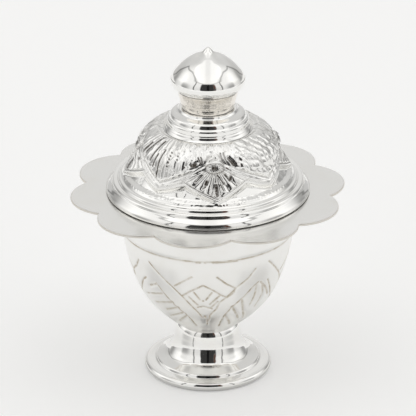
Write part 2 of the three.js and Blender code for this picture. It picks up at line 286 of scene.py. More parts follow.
# %% Sew its seams and folds
corner_seam = seam_azimuth + tent.ease(elevation, 38, 54) * 5
seam = patch("corner seam", side - corner_seam, elevation)
roof_line = 52 - tent.ease(side, 85, 128) * 15
roof_seam = patch("roof seam", elevation - roof_line, side)
paper_edge = patch("paper edge", side + elevation * 0.55 - 145, elevation)
lintel = tent.band(elevation, 51.5, 54, 1) * (1 - tent.ease(side, 46, 54))
side_fold = tent.ease(side, 52, 74) * (1 - tent.ease(side, 84, 94))
side_fold = side_fold * (1 - tent.ease(elevation, 0, 40))
back_fold = patch("back fold", side, elevation)
walls = walls * (1 - seam * (1 - seam_share)) * (1 - (roof_seam + paper_edge) * thin_line)
walls = walls * (1 - lintel * soft_line)
walls = walls * (1 - side_fold * (1 - fold_share)) * (1 - back_fold * soft_line)
print("tent seams at", seam_azimuth, "degrees to each side")

# %% Cut its opening
opening = patch("opening", azimuth, elevation)
lens = patch("lens", azimuth, elevation)
level = walls + opening * (opening_level - walls)
level = level + lens * (lens_level - level)
warm_edge = opening * tent.band(azimuth, *patches["warm edge"][0])
warm_edge = warm_edge * tent.band(elevation, *patches["warm edge"][1])
colour = tent.mix(warm_edge, white_cloth, brown_edge)
level = level + warm_edge * (edge_level - level)

inside = tent.add("Background", None, {"Color": colour, "Strength": level})
backdrop_inputs = {"Color": (*white_cloth, 1), "Strength": backdrop_level}
backdrop = tent.add("Background", None, backdrop_inputs)
seen = tent.add("LightPath").out("Is Camera Ray")
shown = tent.add("MixShader", None, {0: seen, 1: inside.out(), 2: backdrop.out()})
tent.add("OutputWorld", None, {"Surface": shown.out()})
print("backdrop", backdrop_level)

# %% [markdown]
# ## The floor
# The tent's floor is the same pale fabric, lit from all round. The camera and the silver both see
# it a little brighter than the light alone would make it, as a bright exposure does, and it keeps
# the box's soft shadow. Its seams, painted shade in a broad patch on each side, and a painted
# shadow close round the foot are drawn only for the silver to mirror.

# %% Lay the floor
floor_size = 1.2
floor_colour = (0.9, 0.9, 0.895)
# the colour of the seams and of the painted shade that the silver mirrors
seam_and_shade_colour = (0.05, 0.05, 0.05)
floor_lift = 0.2
seam_depth, side_shade_depth, shade_depth = 0.85, 0.3, 0.3


def tent_cloth():
    """Pale fabric, with seams and painted shade that only the silver sees."""
    material, tree = new_finish("tent_cloth")
    place = tree.place()
    azimuth, _ = tree.bearing(place)
    side = azimuth.math("ABSOLUTE")
    away = tree.add("VectorMath", {"operation": "LENGTH"}, {0: place}).out("Value")
    light_path = tree.add("LightPath")
    mirrored = light_path.out("Is Glossy Ray")
    # the seams are dark lines; the broad patch on each side and the ring round the foot are painted
    # shade, mirrored only by the silver
    seam = tree.band(side, 45, 47.5, 0.8) * seam_depth
    side_shade = tree.ease(side, 36, 76) * tree.band(side, 0, 88, 8) * side_shade_depth
    shade = (1 - tree.ease(away, 14.5 * mm, 19 * mm)) * shade_depth
    seams_and_shade = ((seam + side_shade) * tree.band(away, 28 * mm, 50 * mm, 7 * mm) + shade) * mirrored
    lifted = (mirrored + light_path.out("Is Camera Ray")) * (1 - seams_and_shade)
    tree.surface({"Base Color": tree.mix(seams_and_shade, floor_colour, seam_and_shade_colour), "Roughness": 0.9,
                  "Specular IOR Level": 0, "Emission Strength": 1,
                  "Emission Color": tree.mix(lifted, (0, 0, 0), (floor_lift,) * 3)})
    return material


bpy.ops.object.select_all(action="DESELECT")
bpy.ops.mesh.primitive_plane_add(size=floor_size, location=(0, 0, 0))
floor = bpy.context.object
floor.name = "floor"
floor.data.materials.append(tent_cloth())
print("floor", floor_size, "m wide")

# %% [markdown]
# ## Turned pieces
# Foot, bowl, lid, collar, neck and knob were spun or turned on a lathe, so each is an outline
# swept round the upright axis. The outline starts as one point that is extruded from corner to
# corner, and the spin operator takes it through a quarter turn. Three copies of that quarter
# close the round, which is much quicker than one full spin with many steps. The corners are
# written as shares of the piece's own box, across and up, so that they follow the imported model.

# %% Draw outlines
curve_steps = 24


def piece_corner(node, across, up):
    low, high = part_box(node)
    return (across * -low.y, low.z + up * (high.z - low.z))


def smooth(corners, steps):
    """A smooth line through corners, with evenly spaced points."""
    padded = np.vstack([2 * corners[0] - corners[1], corners, 2 * corners[-1] - corners[-2]])
    fine = []
    for index in range(len(corners) - 1):
        before, start, end, after = padded[index:index + 4]
        for t in np.linspace(0, 1, curve_steps, endpoint=False):
            fine.append(0.5 * (2 * start + (end - before) * t
                               + (2 * before - 5 * start + 4 * end - after) * t ** 2
                               + (3 * start - before - 3 * end + after) * t ** 3))
    fine = np.array(fine + [corners[-1]])
    length = path_length(fine)
    even = np.linspace(0, length[-1], steps + 1)
    return np.column_stack([np.interp(even, length, axis) for axis in fine.T])


def path_length(line):
    """How far along the line each of its points lies."""
    return np.concatenate([[0], np.cumsum(np.hypot(*np.diff(line, axis=0).T))])


def through(node, shares, steps):
    """A smooth line through corners that are given as shares of a node's box."""
    return smooth(np.array([piece_corner(node, across, up) for across, up in shares]), steps)


def bead(centre, across, up, start, end, steps):
    """Part of an ellipse, from one angle to another, in degrees above the horizontal."""
    angles = np.radians(np.linspace(start, end, steps + 1))
    return np.column_stack([centre[0] + across * np.cos(angles), centre[1] + up * np.sin(angles)])


def joined(*lines):
    """One outline from several lines, without repeated corners."""
    points = np.vstack([np.atleast_2d(line) for line in lines])
    keep = np.concatenate([[True], np.hypot(*np.diff(points, axis=0).T) > 0.01 * mm])
    return points[keep]


print("outlines are shares of", len(frame["nodes"]), "packed pieces")

# %% Sweep an outline round the axis
def spun(name, outline, steps, on_axis=False):
    """The closed outline, swept round the axis and welded into one skin."""
    bpy.ops.object.select_all(action="DESELECT")
    bpy.ops.mesh.primitive_plane_add(size=mm)
    piece = bpy.context.object
    piece.name = name
    bpy.ops.object.mode_set(mode="EDIT")
    bpy.ops.mesh.select_all(action="SELECT")
    bpy.ops.mesh.merge(type="CENTER")
    bpy.ops.transform.translate(value=(outline[0][0], 0, outline[0][1]))
    corners = list(outline[1:]) if on_axis else [*outline[1:], outline[0]]
    here = outline[0]
    for corner in corners:
        move = (corner[0] - here[0], 0, corner[1] - here[1])
        bpy.ops.mesh.extrude_region_move(TRANSFORM_OT_translate={"value": move})
        here = corner
    bpy.ops.mesh.select_all(action="SELECT")
    bpy.ops.mesh.spin(steps=steps // 4, angle=math.pi / 2, center=(0, 0, 0), axis=(0, 0, 1))
    bpy.ops.mesh.select_all(action="SELECT")
    for _ in range(3):
        bpy.ops.mesh.duplicate()
        bpy.ops.transform.rotate(value=math.pi / 2, orient_axis="Z", center_override=(0, 0, 0))
    bpy.ops.mesh.select_all(action="SELECT")
    bpy.ops.mesh.remove_doubles(threshold=0.003 * mm)
    bpy.ops.mesh.select_all(action="SELECT")
    bpy.ops.mesh.normals_make_consistent(inside=False)
    bpy.ops.object.mode_set(mode="OBJECT")
    bpy.ops.object.shade_smooth_by_angle(angle=math.radians(50))
    print(name, len(piece.data.vertices), "points")
    return piece


def places_of(piece):
    """The piece's points, as rows of x, y and z."""
    place = np.empty(len(piece.data.vertices) * 3)
    piece.data.vertices.foreach_get("co", place)
    return place.reshape(-1, 3)


def polar(place):
    """Each point's distance from the axis, and its degrees round from the front."""
    x, y = place[:, 0], place[:, 1]
    return np.hypot(x, y), np.degrees(np.arctan2(x, -y))


def move_to(piece, place):
    piece.data.vertices.foreach_set("co", place.ravel())
    piece.data.update()


def dress(piece, node, material):
    """The piece stands for a node, on that node's body, with its own finish."""
    piece.data.materials.clear()
    piece.data.materials.append(material)
    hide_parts(node)
    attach(piece, body_of[node])


bodies = frame["record"]["behaviour"]["bodies"]
body_of = {node: body for body, nodes in bodies.items() for node in nodes}
print("bodies:", sorted(set(body_of.values())))

# %% [markdown]
# ## Ornament as a relief
# Chasing and embossing move the metal in and out along its own normal. On a spun piece each point
# has a column, its angle round the axis, and a row, its distance along the outline. So ornament is
# drawn on that sheet: a relief function gives a height and a recess for every column and row, and
# each point then moves out by its height. The recess is stored as a point attribute, where the
# finish finds its tarnish, and on the bowl also a painted shade under its band. Hollows that the
# relief leaves are found by comparing each height with the mean of its neighbours.

# %% Draw on the unrolled sheet
four_fold, two_fold, single = 90, 180, 360


def fold(turn, middle, period):
    """Degrees from the nearest of the middles that repeat with a period."""
    return (turn - middle + period / 2) % period - period / 2


def ramp(value, start, end):
    """A smooth step from 0 at start to 1 at end."""
    t = np.clip((value - start) / (end - start), 0, 1)
    return t * t * (3 - 2 * t)


def fall(value, start, end):
    """A smooth step from 1 at start to 0 at end."""
    return ramp(-value, -end, -start)


def hump(value, middle, width):
    """1 at the middle, and less on both sides of it."""
    return np.exp(-((value - middle) / width) ** 2)


def stroke(sheet, start, end, width, period=four_fold):
    """1 on a line between two places, and less beside it; places are degrees round and mm up."""
    middle = (start[0] + end[0]) / 2
    across = fold(sheet["turn"], middle, period) * sheet["mm_per_degree"]
    up = sheet["up"] - start[1]
    run = (end[0] - start[0]) * sheet["mm_per_degree"]
    rise = end[1] - start[1]
    from_start = across + run / 2
    t = np.clip((from_start * run + up * rise) / (run ** 2 + rise ** 2 + 1e-9), 0, 1)
    return np.exp(-((from_start - t * run) ** 2 + (up - t * rise) ** 2) / width ** 2)


def strokes(sheet, lines, width, period=four_fold):
    """The strongest of several lines, each a chain of places."""
    deepest = np.zeros_like(sheet["turn"])
    for line in lines:
        for start, end in zip(line, line[1:]):
            deepest = np.maximum(deepest, stroke(sheet, start, end, width, period))
    return deepest


def hammering(sheet, columns, rows, seed):
    """Soft random bumps from -1 to 1, which join up round the axis."""
    table = np.random.default_rng(seed).uniform(-1, 1, (rows + 1, columns))
    column = sheet["turn"] / 360 * columns
    row = sheet["up"] / sheet["up"].max() * (rows - 1)
    left, low = np.floor(column).astype(int), np.floor(row).astype(int)
    t, u = ramp(column - left, 0, 1), ramp(row - low, 0, 1)
    near, far = table[low, left % columns], table[low, (left + 1) % columns]
    near_up, far_up = table[low + 1, left % columns], table[low + 1, (left + 1) % columns]
    return (near * (1 - t) + far * t) * (1 - u) + (near_up * (1 - t) + far_up * t) * u


print("relief helpers are ready")

# %% Move a spun piece's points by a relief
def hollows(height, reach, depth):
    """1 where the sheet lies a depth below the mean of its neighbours, and 0 where it doesn't."""
    around = sum(np.roll(height, shift, axis=1) for shift in range(-reach, reach + 1))
    padded = np.pad(around, ((reach, reach), (0, 0)), mode="edge")
    block = sum(padded[shift:shift + len(height)] for shift in range(2 * reach + 1))
    return np.clip((block / (2 * reach + 1) ** 2 - height) / depth, 0, 1)


def emboss(piece, line, steps, relief, start=0):
    """Raise a relief on the part of a piece that follows a line, whose first level is start."""
    slope = np.gradient(line, axis=0)
    slope /= np.hypot(*slope.T)[:, None]
    turn, up = np.meshgrid(np.arange(steps) * 360 / steps, path_length(line) / mm + start)
    sheet = {"turn": turn, "up": up,
             "mm_per_degree": np.repeat(np.radians(line[:, :1]) / mm, steps, axis=1)}
    height, recess = relief(sheet)

    place = places_of(piece)
    radius, angle = polar(place)
    gap = np.hypot(radius[:, None] - line[:, 0], place[:, 2:] - line[:, 1])
    row = gap.argmin(axis=1)
    on_line = gap.min(axis=1) < 0.02 * mm
    column = np.round(angle / 360 * steps).astype(int) % steps
    rise = np.where(on_line, height[row, column], 0) * mm
    scale = 1 + rise * slope[row, 1] / np.maximum(radius, 1e-6)
    place[:, :2] *= scale[:, None]
    place[:, 2] -= rise * slope[row, 0]
    move_to(piece, place)
    stored = piece.data.attributes.new("recess", "FLOAT", "POINT")
    stored.data.foreach_set("value", np.where(on_line, recess[row, column], 0))
    print(piece.name, "relief from", round(height.min(), 2), "to", round(height.max(), 2), "mm")

# %% [markdown]
# ## Polished silver plate
# Silver plate is a bright metal with a faint warmth. Handling leaves it with soft smears that
# blur the reflection a little, and tarnish stays where the polishing cloth doesn't reach: the
# finish darkens and dulls the stored recesses, which also hold painted shade under the lid's rim
# and under the bowl's band. A faint swell in the surface makes the mirrored tent waver, as on
# sheet that was hammered over a stake.

# %% Make the silver finish
silver_colour = (0.93, 0.925, 0.905)
warm_silver_colour = (0.88, 0.84, 0.78)
# tarnish colours, which also give the painted shade under the lid's rim and the bowl's band
tarnish_and_shade_colour = (0.07, 0.055, 0.042)
light_tarnish_and_shade_colour = (0.52, 0.44, 0.33)
smear_shares = (0.95, 0.93, 0.89)
smear_scale, swell_scale, grain_scale = 180, 420, 2600
grain_depth = 0.0006


def silver(name, colour=silver_colour, roughness=0.06, waviness=0.006, tarnish=None, metallic=1):
    """Silver plate; waviness is the depth of its soft unevenness, in millimetres."""
    material, tree = new_finish(name)
    place = tree.place()
    smears = tree.noise(place, smear_scale, 4, 0.6)
    grain = tree.noise(place, grain_scale)
    swell = tree.noise(place, swell_scale)
    dull = roughness + tree.ease(smears, 0.45, 0.75) * 0.05 + (grain - 0.5) * 0.03
    smeared_colour = tuple(channel * share for channel, share in zip(colour, smear_shares))
    shade = tree.mix(tree.ease(smears, 0.4, 0.8) * 0.35, colour, smeared_colour)
    # the stored recess darkens and dulls the silver: tarnish in hollows, and painted shade under the
    # lid's rim and the bowl's band
    if tarnish:
        depth = tree.add("Attribute", {"attribute_name": "recess"}).out("Fac")
        patchy = depth * (0.65 + tree.ease(grain, 0.3, 0.6) * 0.35)
        shade = tree.mix(patchy, shade, tarnish)
        dull = dull + (depth * 20).math("MINIMUM", 1) * 0.07 + depth * 0.3
    tree.surface({"Base Color": shade, "Metallic": metallic, "Roughness": dull,
                  "Normal": tree.bump(swell * waviness + grain * grain_depth)})
    return material


print("silver", silver_colour)

# %% [markdown]
# ## The foot
# The foot is a trumpet spun from sheet. It rests on a rolled rim, with a flat band and a small
# step inside it, then sweeps up into a stout stem whose top is rounded in under the bowl. It is
# hollow from below, with a hole in its cap for the screw that holds the bowl.

# %% Turn the foot
foot_low, foot_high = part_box("foot")
foot_rim_radius = -foot_low.y
foot_height = foot_high.z
rim_across, rim_up = 1 * mm, 1.03 * mm
wall = 0.8 * mm
screw_hole = 1.7 * mm
turned_columns = 160

foot_rest = through("foot", [(0.886, 0), (0.955, 0)], 2)
foot_rim = bead((foot_rim_radius - rim_across, rim_up), rim_across, rim_up, -52, 76, 14)
foot_band = through("foot", [(0.937, 0.176), (0.915, 0.173), (0.88, 0.178), (0.832, 0.186)], 6)
foot_step = through("foot", [
    (0.826, 0.19), (0.818, 0.21), (0.812, 0.232), (0.8, 0.25), (0.786, 0.26),
], 8)
foot_flare = through("foot", [
    (0.782, 0.262), (0.736, 0.292), (0.672, 0.339), (0.628, 0.388), (0.596, 0.445), (0.567, 0.503),
    (0.546, 0.567), (0.53, 0.637), (0.521, 0.71), (0.516, 0.79), (0.508, 0.873),
], 40)
foot_crown = through("foot", [(0.508, 0.873), (0.496, 0.925), (0.48, 0.962), (0.455, 1)], 10)
foot_hollow = through("foot", [
    (0.457, 0.93), (0.46, 0.75), (0.47, 0.62), (0.5, 0.5), (0.56, 0.38), (0.65, 0.28), (0.74, 0.2),
    (0.82, 0.11), (0.886, 0.105),
], 16)
foot_cap = [(screw_hole, foot_height), (screw_hole, foot_height - wall)]
foot = spun("foot_turned", joined(foot_rest, foot_rim, foot_band, foot_step, foot_flare,
                                  foot_crown, foot_cap, foot_hollow), turned_columns)
dress(foot, "foot", silver("foot_silver"))

# %% [markdown]
# ## The bowl
# The bowl is an egg shape with a plain band under its mouth, and its belly is chased with a
# traditional pattern: crossing straps, a chevron with a leaf in each V, and ribbed panels between
# them. A chaser's tool leaves a shallow furrow, so the lines are real furrows in the mesh. Each
# line is drawn once: straps, chevrons and leaves repeat four times round, the palm ribs and the
# feather ribs twice, in turn, and the worn specks under the band don't repeat.

# %% Turn the bowl
bowl_low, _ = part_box("bowl")
bowl_columns = 560
bowl_belly = through("bowl", [
    (0.347, 0), (0.376, 0.018), (0.426, 0.044), (0.488, 0.08), (0.55, 0.119), (0.609, 0.161),
    (0.653, 0.196), (0.703, 0.242), (0.772, 0.33), (0.847, 0.466), (0.906, 0.622), (0.926, 0.735),
], 128)
bowl_band = through("bowl", [(0.93, 0.738), (0.935, 0.744), (0.9357, 0.8), (0.9357, 0.97)], 7)
bowl_lip = through("bowl", [
    (0.945, 0.98), (0.99, 0.981), (1, 0.986), (1, 0.998), (0.99, 1), (0.905, 1), (0.896, 0.996),
], 8)
bowl_inside = through("bowl", [
    (0.896, 0.985), (0.896, 0.75), (0.865, 0.62), (0.806, 0.466), (0.733, 0.335), (0.61, 0.195),
    (0.45, 0.085), (0.3, 0.03),
], 12)
bowl_floor = [(screw_hole, bowl_low.z + wall), (screw_hole, bowl_low.z)]
bowl = spun("bowl_chased", joined(bowl_belly, bowl_band, bowl_lip, bowl_inside, bowl_floor),
            bowl_columns)

# %% Chase its pattern
strap_lines = [
    [(-44, 23.7), (-33.7, 20.6), (-27.5, 18.9), (-20, 16.4), (-14.5, 14.1), (-9, 11.8),
     (-4.8, 9.5)],
    [(-41, 18.5), (-35, 15.8), (-29, 13.3), (-24, 11.6), (-20, 10.4), (-16.5, 8.3), (-13.8, 4.8)],
    [(34.4, 22.9), (29.6, 20.8), (21.3, 18.9), (13.8, 16.2), (9, 14.8), (7, 12.9), (2, 10.6),
     (0.4, 7.9)],
    [(39.3, 18.9), (33.7, 17.5), (26.9, 15), (20, 12.9), (15.2, 10.4), (13, 7.5), (13, 4.5)],
]
chevron_lines = [
    [(-24.8, 19), (-11, 22.2)], [(6.2, 22.2), (13, 20.2), (20, 18.7), (19.5, 17.5)],
    [(-20, 16.4), (-13, 18.1), (-3.4, 20), (3.4, 18.7), (9, 17.2), (14.5, 16.2), (18.6, 17.2)],
]
leaf_lines = [
    [(-10.3, 17.9), (-6.2, 15.8)], [(2.8, 17.9), (-1.4, 15.8)],
    [(-8.3, 13.3), (-3.4, 13.7), (3.4, 12.9)], [(-0.7, 8.7), (-0.7, 6)],
]
leaf_slots = [
    [(-14.5, 16.4), (-8.3, 14.1)], [(8.3, 16.8), (1.4, 14.3)], [(7.6, 15.2), (2, 13.1)],
    [(-2.7, 10.2), (-2, 9.4)], [(-3.9, 15.4), (-3.5, 15.4)],
]
palm_ribs = [
    [(38.6, 17.9), (39.3, 14.8), (37.9, 12.2)], [(27.5, 14.8), (30.3, 12.2), (33.7, 9.8), (42, 6)],
    [(20, 12.9), (25.5, 10.2), (32.4, 7.2)], [(15.8, 9.8), (21.3, 7.2), (26.9, 4.5)],
    [(42, 18.5), (48.9, 16.4), (57.2, 13.3)], [(44.8, 17.2), (48.2, 14.8), (46, 10.6)],
]
feather_ribs = [
    [(-48.9, 16.8), (-42, 17.9)], [(-58.5, 13.3), (-37.9, 15.6)], [(-50.3, 11.6), (-29.6, 13.7)],
    [(-40, 10.2), (-25.5, 12.3)], [(-42, 7.2), (-22.7, 10.6)], [(-33.7, 5.6), (-20, 9.5)],
]
worn_specks = [(-8, -5), (-2.2, -1.6), (3, 20)]
furrow_depth, furrow_width = 0.13, 0.25
rib_depth, rib_width = 0.26, 0.42
speck_depth, speck_width, speck_drop = 0.05, 0.16, 0.35
slot_width = 0.28


def chased_pattern(sheet):
    up, top = sheet["up"], sheet["up"].max()
    furrows = strokes(sheet, strap_lines + chevron_lines, furrow_width)
    leaves = strokes(sheet, leaf_lines, furrow_width)
    lines = np.maximum(furrows, np.maximum(leaves, strokes(sheet, leaf_slots, slot_width)))
    ribs = strokes(sheet, palm_ribs + feather_ribs, rib_width, two_fold)
    rim = top - speck_drop
    speck_lines = [[(start, rim), (end, rim)] for start, end in worn_specks]
    specks = strokes(sheet, speck_lines, speck_width, single)
    dents = hammering(sheet, 60, 14, 7) * 0.02 + hammering(sheet, 170, 40, 8) * 0.006
    fade = ramp(up, 0, 3) * fall(up, top - 1.5, top)
    height = dents * fade - lines * furrow_depth - ribs * rib_depth - specks * speck_depth
    patchy = 0.65 + 0.35 * hammering(sheet, 120, 40, 9)
    stain = np.maximum(ramp(lines, 0.25, 0.85) * 1.1, ramp(ribs, 0.4, 1) * 0.85)
    # painted shade along the step under the band, stored with the tarnish in the recess
    shade_under_band = ramp(up - rim, -0.15, 0.2) * 0.9
    return height, np.maximum.reduce([stain * patchy, specks, shade_under_band * patchy])


emboss(bowl, bowl_belly, bowl_columns, chased_pattern)
dress(bowl, "bowl", silver("bowl_silver", roughness=0.31, tarnish=light_tarnish_and_shade_colour))

# %% [markdown]
# ## The petal plate
# Ten round petals are sawn from flat sheet and soldered to the bowl's lip. Each petal is an arc,
# and neighbours meet in a sharp notch. The sawn edge starts as a circle whose corners move to the
# arcs; it is extruded inwards to the mouth, thickened and rounded. The sawn edge keeps a little
# tarnish.

# %% Saw the petal plate
plate_low, plate_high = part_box("petal_plate")
petal_count = 10
petal_points = 24
plate_colour = (0.89, 0.885, 0.865)
first_notch = math.radians(10.6)
notch_radius = 26.9 * mm
tip_radius = 30.3 * mm
mouth_radius = 18.1 * mm
edge_round = 0.15 * mm
edge_tarnish = 0.4

half_petal = math.pi / petal_count
half_chord = notch_radius * math.sin(half_petal)
chord_distance = notch_radius * math.cos(half_petal)
petal_rise = tip_radius - chord_distance
petal_radius = (half_chord ** 2 + petal_rise ** 2) / (2 * petal_rise)
petal_centre = tip_radius - petal_radius
petal_sweep = math.atan2(half_chord, chord_distance - petal_centre)

sawn_edge = []
for petal in range(petal_count):
    middle = first_notch + half_petal * (2 * petal + 1)
    for step in range(petal_points):
        turn = petal_sweep * (2 * step / petal_points - 1)
        radial = petal_centre + petal_radius * math.cos(turn)
        sideways = petal_radius * math.sin(turn)
        sawn_edge.append((math.hypot(radial, sideways), middle + math.atan2(sideways, radial)))

bpy.ops.object.select_all(action="DESELECT")
bpy.ops.mesh.primitive_circle_add(vertices=len(sawn_edge), radius=1, fill_type="NOTHING",
                                  location=(0, 0, plate_low.z))
plate = bpy.context.object
plate.name = "petal_plate_sawn"
bpy.ops.object.transform_apply(location=True, rotation=False, scale=False)
for vertex, (radius, angle) in zip(plate.data.vertices, sawn_edge):
    vertex.co.x = radius * math.sin(angle)
    vertex.co.y = -radius * math.cos(angle)
bpy.ops.object.mode_set(mode="EDIT")
bpy.ops.mesh.select_all(action="SELECT")
bpy.ops.mesh.extrude_region_move(TRANSFORM_OT_translate={"value": (0, 0, 0)})
bpy.ops.object.mode_set(mode="OBJECT")
for vertex in plate.data.vertices:
    if vertex.select:
        share = mouth_radius / math.hypot(vertex.co.x, vertex.co.y)
        vertex.co.x *= share
        vertex.co.y *= share
thickness = plate.modifiers.new("thickness", "SOLIDIFY")
thickness.thickness = plate_high.z - plate_low.z
thickness.offset = -1
edges = plate.modifiers.new("edges", "BEVEL")
edges.width = edge_round
edges.segments = 2
for name in ("thickness", "edges"):
    bpy.ops.object.modifier_apply(modifier=name)
bpy.ops.object.shade_smooth_by_angle(angle=math.radians(20))
edge_recess = plate.data.attributes.new("recess", "FLOAT", "POINT")
for index, (x, y, z) in enumerate(places_of(plate)):
    if math.hypot(x, y) > notch_radius - mm and z < plate_high.z - 0.01 * mm:
        edge_recess.data[index].value = edge_tarnish
dress(plate, "petal_plate", silver("plate_silver", colour=plate_colour, roughness=0.2,
                                   metallic=0.85, tarnish=light_tarnish_and_shade_colour))
print("petal radius", round(petal_radius / mm, 2), "mm")

# %% [markdown]
# ## The lid
# The lid is stamped from sheet over a die: a sloping rim, two beads, a skirt, and a dome whose
# ornament stands up from it.

# %% Turn the lid
lid_low, lid_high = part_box("lid_dome")
lid_radius = 22.25 * mm
lid_columns = 640
lid_levels = 97
lid_wall = 0.7 * mm
dome_start = 1.05


def lid_line(shares, steps):
    tall = lid_high.z - lid_low.z
    corners = [(across * lid_radius, lid_low.z + up * tall) for across, up in shares]
    return smooth(np.array(corners), steps)


lid_edge = lid_line([
    (0.978, -0.0165), (0.989, -0.015), (0.997, -0.008), (1, 0.003), (1, 0.028), (0.994, 0.05),
], 12)
lid_slope = lid_line([(0.98, 0.075), (0.964, 0.1), (0.951, 0.121), (0.945, 0.128)], 5)
lid_bead = lid_line([
    (0.943, 0.138), (0.941, 0.153), (0.935, 0.169), (0.926, 0.182), (0.917, 0.186),
], 8)
lid_step = lid_line([(0.903, 0.181), (0.892, 0.177)], 1)
lid_ring = lid_line([
    (0.886, 0.181), (0.881, 0.197), (0.876, 0.212), (0.867, 0.223), (0.855, 0.228),
], 8)
lid_dome = lid_line([
    (0.852, 0.229), (0.836, 0.253), (0.787, 0.355), (0.724, 0.491), (0.688, 0.621), (0.661, 0.744),
    (0.598, 0.86), (0.526, 0.949), (0.449, 1),
], lid_levels)
lid_crown = [(screw_hole, lid_high.z), (screw_hole, lid_high.z - lid_wall)]
lid_inside = lid_line([
    (0.4, 0.951), (0.5, 0.9), (0.57, 0.81), (0.61, 0.71), (0.63, 0.6), (0.665, 0.47),
    (0.725, 0.33), (0.78, 0.225), (0.86, 0.11),
], 10)
lid_foot = lid_line([(0.901, 0.02), (0.94, 0), (0.965, -0.014)], 4)
lid = spun("lid_embossed", joined(lid_edge, lid_slope, lid_bead, lid_step, lid_ring, lid_dome,
                                  lid_crown, lid_inside, lid_foot), lid_columns)

# %% [markdown]
# ### The dome's ornament
# A zigzag border runs round the dome, with four low tips that carry fans and four that carry
# leaves. A fan has seven petals that open downwards from a small boss, with a plain tongue above
# it. Two of the leaves are ribbed and two are scaled, in turn. Below the border the skirt has a
# rough ledge, and a shallow valley under each notch. Each motif is one function that gives its
# height in millimetres and how deep its recesses are. Places are degrees round and mm up, and a
# grain is the columns, rows and seed of a hammering.

# %% Lay out the ornament
fan_middle = 6.5
ribbed_middle = -38.5
scaled_middle = 51.5
focus = (-0.5, 10.6)
notch, tip = 24, 45
valley_grain, ledge_grain, lump_grain = (400, 40, 4), (320, 46, 21), (150, 16, 3)
crown_grain, wave_grain, skin_grain = (76, 9, 2), (120, 14, 5), (300, 36, 6)
speck_grain = (360, 60, 12)
swell_height = 0.42
print("ornament: a fan at", fan_middle, "and leaves at", ribbed_middle, scaled_middle, "degrees")


def zigzag(aside):
    """The foot of the border, up from the skirt, by degrees from the nearest fan's middle."""
    return np.interp(aside, [0, notch, tip], [1.8, 5.2, 2.9])


def leaf_edge(aside):
    """The middle of the raised band under the leaves."""
    return 9.75 - 0.141 * (aside - 10)


def layout(sheet):
    """Where each place lies among the motifs."""
    beside = fold(sheet["turn"], fan_middle, four_fold)
    aside = np.abs(beside)
    return {
        "beside": beside,
        "in_border": 0.93 * (sheet["up"] - zigzag(aside)),
        "in_leaf": 0.95 * (sheet["up"] - leaf_edge(aside)),
        "from_ribbed": fold(sheet["turn"], ribbed_middle, two_fold),
        "from_scaled": fold(sheet["turn"], scaled_middle, two_fold),
        "valley": np.abs(aside - notch) * sheet["mm_per_degree"],
    }


def border_and_skirt(sheet, spot):
    """The bevelled border, the band under the leaves, and the skirt's ledge and valleys."""
    up, inward, beside = sheet["up"], spot["in_border"], spot["beside"]
    low = -np.clip(0.34 * (up - 1.9), 0, 0.42)
    top = np.interp(inward, [0.9, 1.02, 1.14, 1.3], [0.46, 0.44, 0.22, 0.3])
    border = low + (top - low) * np.clip(inward / 0.75, 0, 1)
    band = 0.2 * np.exp(-(spot["in_leaf"] / 0.42) ** 4)
    below = fall(inward, -0.2, 0.2)
    rough = 0.7 + 0.5 * hammering(sheet, *valley_grain)
    valley = hump(spot["valley"], 0, 2.2) * 0.1 * below * ramp(up, 1.6, 3.4)
    valley = valley + hump(spot["valley"], 0, 1.1) * 0.03 * below * rough * ramp(up, 1.6, 2.4)
    ledge = 0.085 * ramp(up, 1.8, 1.95) * fall(up, 2.2, 2.8) * rough * below
    ledge = ledge + 0.035 * hammering(sheet, *ledge_grain) * ramp(up, 1.5, 1.9) * fall(up, 2.8, 3.6)
    groove = hump(inward, 1.14, 0.13)
    on_left = fall(beside, -4, 2) * ramp(beside, -26, -22)
    on_right = ramp(beside, -2, 4) * fall(beside, 22, 26)
    return border + band - valley + ledge, groove * (0.12 + 0.75 * on_left + 0.3 * on_right)


def fan(sheet, spot):
    """Seven petals that open downwards from the boss, with their pits and slots."""
    inside = ramp(spot["in_border"], 1.15, 1.5) * fall(spot["in_leaf"], -0.6, -0.35)
    across = (spot["beside"] - focus[0]) * sheet["mm_per_degree"]
    angle = np.degrees(np.arctan2(across, focus[1] - sheet["up"]))
    petal = (angle / 16.4 + 0.5) % 1
    crown = 1 - (2 * petal - 1) ** 2
    gaps = ramp(np.abs(2 * petal - 1), 0.8, 1)
    pits = np.maximum.reduce([
        strokes(sheet, [[(6.6, 3.9), (6.2, 4.8), (6, 6.3)]], 0.42),
        strokes(sheet, [[(-1.6, 6.5), (-1, 7.1)], [(17.6, 7.3), (18.2, 7.8)]], 0.42),
        strokes(sheet, [[(-9.5, 6.9), (-4, 8.5)], [(7.7, 8.4), (12.3, 6.4)]], 0.18),
        strokes(sheet, [[(-4, 5.4), (-2, 6)], [(13.5, 8.6), (16, 7.4)],
                        [(9.5, 6.4), (11.5, 4.8)]], 0.14),
    ])
    recess = np.maximum.reduce([gaps * 0.3, ramp(pits, 0.25, 0.8), np.full_like(pits, 0.07)])
    return inside * (0.32 * crown - 0.3 * pits), inside * recess


